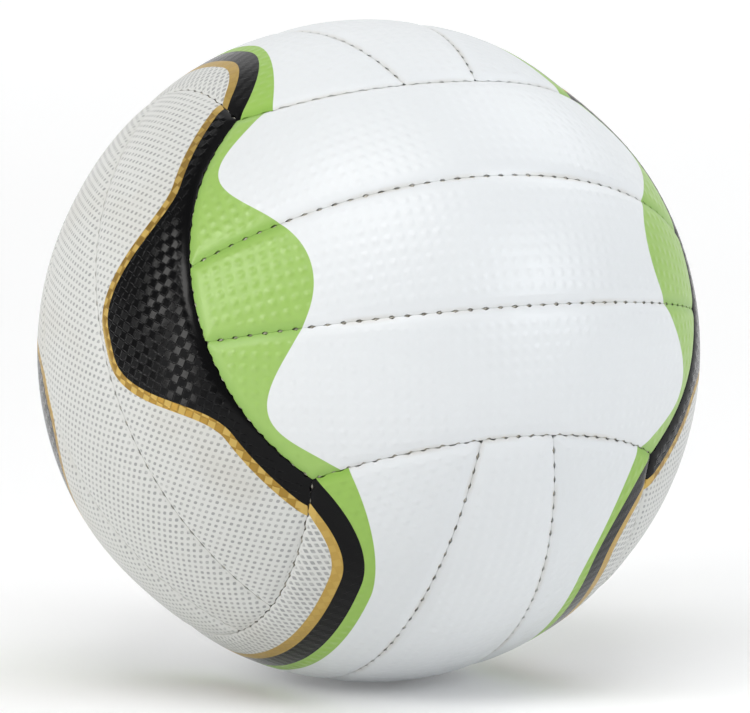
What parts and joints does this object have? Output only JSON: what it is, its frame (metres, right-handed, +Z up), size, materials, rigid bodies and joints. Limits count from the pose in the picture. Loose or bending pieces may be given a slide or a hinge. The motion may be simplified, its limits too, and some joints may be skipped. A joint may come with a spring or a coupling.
{
  "type": "beach volleyball",
  "caption": "Inflated sewn ball for beach volleyball: strip panels in six faces over foam backings, a rubber bladder and a needle valve, printed in green, black and gold on white.",
  "frame": {"origin": "the ball's centre", "axes": "+Z up, away from the flat patch it rests on; -Y towards the viewer of the picture, which sees the front face turned to the right and up; +X to the right"},
  "size_m": [0.2128, 0.213, 0.2126],
  "materials": {
    "cover_white": "white embossed synthetic leather, satin",
    "cover_green": "synthetic leather printed light green, satin",
    "cover_black": "synthetic leather printed black, semi-gloss",
    "cover_dotted": "white synthetic leather with grey printed dots, satin",
    "backing": "foam with a cloth face, matte",
    "thread": "cream waxed thread",
    "bladder": "matte black rubber",
    "valve": "matte black rubber"
  },
  "bodies": {
    "root": {"front_lower_panel": "cover_white", "front_middle_panel": "cover_white", "front_upper_panel": "cover_white", "front_lower_backing": "backing", "front_middle_backing": "backing", "front_upper_backing": "backing", "front_lower_seam_thread": "thread", "front_upper_seam_thread": "thread", "back_upper_panel": "cover_white", "back_middle_panel": "cover_white", "back_lower_panel": "cover_white", "back_upper_backing": "backing", "back_middle_backing": "backing", "back_lower_backing": "backing", "back_upper_seam_thread": "thread", "back_lower_seam_thread": "thread", "right_back_panel": "cover_black", "right_middle_panel": "cover_dotted", "right_front_panel": "cover_black", "right_back_backing": "backing", "right_middle_backing": "backing", "right_front_backing": "backing", "right_back_seam_thread": "thread", "right_front_seam_thread": "thread", "left_front_panel": "cover_black", "left_middle_panel": "cover_dotted", "left_back_panel": "cover_black", "left_front_backing": "backing", "left_middle_backing": "backing", "left_back_backing": "backing", "left_front_seam_thread": "thread", "left_back_seam_thread": "thread", "top_right_panel": "cover_green", "top_middle_panel": "cover_white", "top_left_panel": "cover_green", "top_right_backing": "backing", "top_middle_backing": "backing", "top_left_backing": "backing", "top_right_seam_thread": "thread", "top_left_seam_thread": "thread", "bottom_left_panel": "cover_green", "bottom_middle_panel": "cover_white", "bottom_right_panel": "cover_green", "bottom_left_backing": "backing", "bottom_middle_backing": "backing", "bottom_right_backing": "backing", "bottom_left_seam_thread": "thread", "bottom_right_seam_thread": "thread", "closing_thread_lower_left": "thread", "closing_thread_lower_right": "thread", "closing_thread_upper_left": "thread", "closing_thread_upper_right": "thread", "bladder": "bladder", "valve_body": "valve", "valve_core": "valve"}
  },
  "joints": []
}
